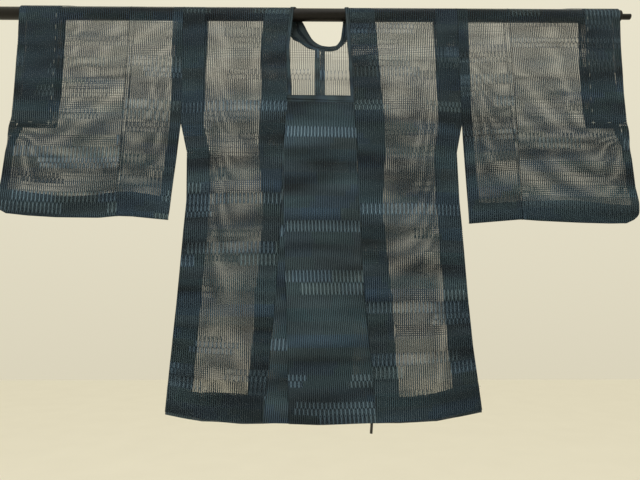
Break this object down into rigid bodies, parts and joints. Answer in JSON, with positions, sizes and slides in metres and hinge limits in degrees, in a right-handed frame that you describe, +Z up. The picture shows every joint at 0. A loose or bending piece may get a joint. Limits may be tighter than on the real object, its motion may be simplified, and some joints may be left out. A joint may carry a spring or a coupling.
{
  "type": "kimono coat",
  "caption": "Hip-length kimono coat of sheer figured gauze with a square neck, doubled overlapping fronts and wide sleeves, hanging flat on a round rod through its sleeves.",
  "frame": {"origin": "on the rod's axis, at the middle of the coat between its cuffs", "axes": "+X along the rod to the wearer's left, the right of the picture; -Y out of the front; +Z up"},
  "size_m": [1.456, 0.0366, 0.9263],
  "materials": {
    "gauze": "sheer dark blue-green leno gauze with figured bands",
    "doubled_gauze": "the same gauze doubled",
    "tie": "matt round braided cord",
    "rod": "black painted steel pipe, satin"
  },
  "bodies": {
    "root": {"rod": "rod", "body_left": "gauze", "body_right": "gauze", "sleeve_inner_left": "gauze", "sleeve_inner_right": "gauze", "sleeve_outer_left": "gauze", "sleeve_outer_right": "gauze", "front_panel_left": "doubled_gauze", "front_panel_right": "doubled_gauze", "neck_band": "doubled_gauze", "cuff_facing_left": "doubled_gauze", "cuff_facing_right": "doubled_gauze", "tie_cord": "tie"}
  },
  "joints": []
}
